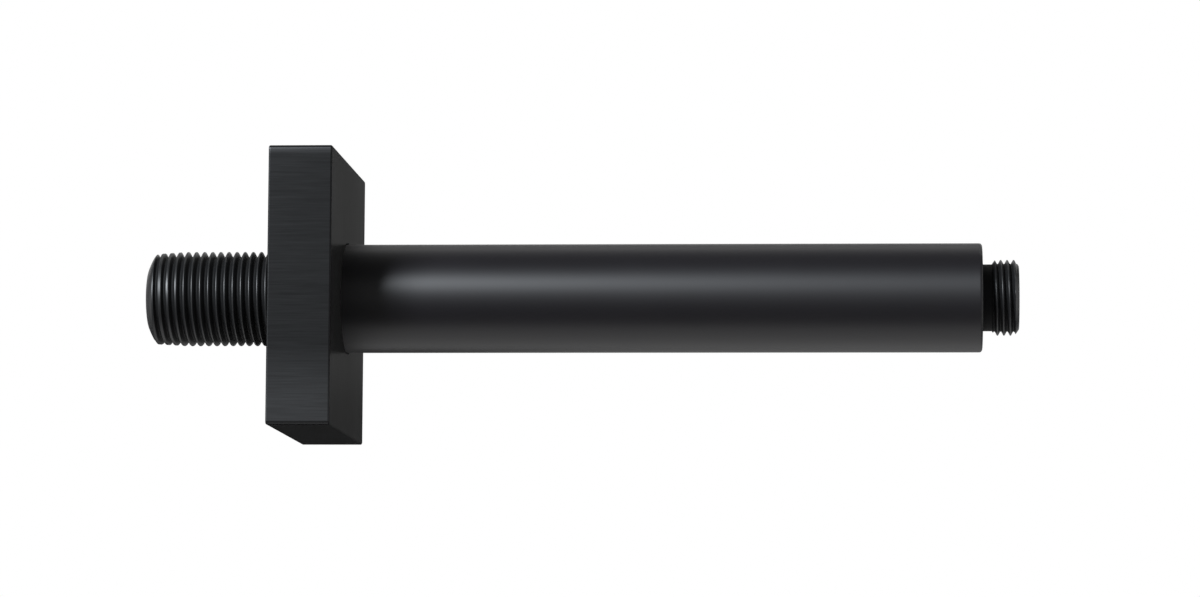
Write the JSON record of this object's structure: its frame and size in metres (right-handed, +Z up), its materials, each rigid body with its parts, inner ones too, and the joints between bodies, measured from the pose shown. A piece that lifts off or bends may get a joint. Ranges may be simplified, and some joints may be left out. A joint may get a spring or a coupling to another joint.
{
  "type": "shower arm",
  "caption": "Straight ceiling shower arm: a round drop tube with a male inlet thread above, a smaller male outlet thread below and a square cover plate that slides and turns on the tube.",
  "frame": {"origin": "centre of the cover plate's back face, in the ceiling plane, on the arm's axis", "axes": "+Z up along the arm's axis, out of the inlet thread; X and Y along the sides of the cover plate"},
  "size_m": [0.0604, 0.0604, 0.1922],
  "materials": {
    "tube_black": "matte",
    "thread_black": "satin",
    "plate_black": "brushed satin",
    "seal_rubber": "matte"
  },
  "bodies": {
    "arm": {"arm_tube": "tube_black", "inlet_nipple": "thread_black", "outlet_spigot": "thread_black"},
    "seal": {"seal_ring": "seal_rubber"},
    "cover": {"escutcheon": "plate_black"}
  },
  "joints": [
    {"name": "cover_slide", "type": "slide", "parent": "arm", "child": "seal", "axis": [0, 0, -1], "range_m": [0, 0.139]},
    {"name": "cover_turn", "type": "hinge", "parent": "seal", "child": "cover", "pos_m": [0, 0, -0.0078], "axis": [0, 0, 1], "continuous": true}
  ]
}
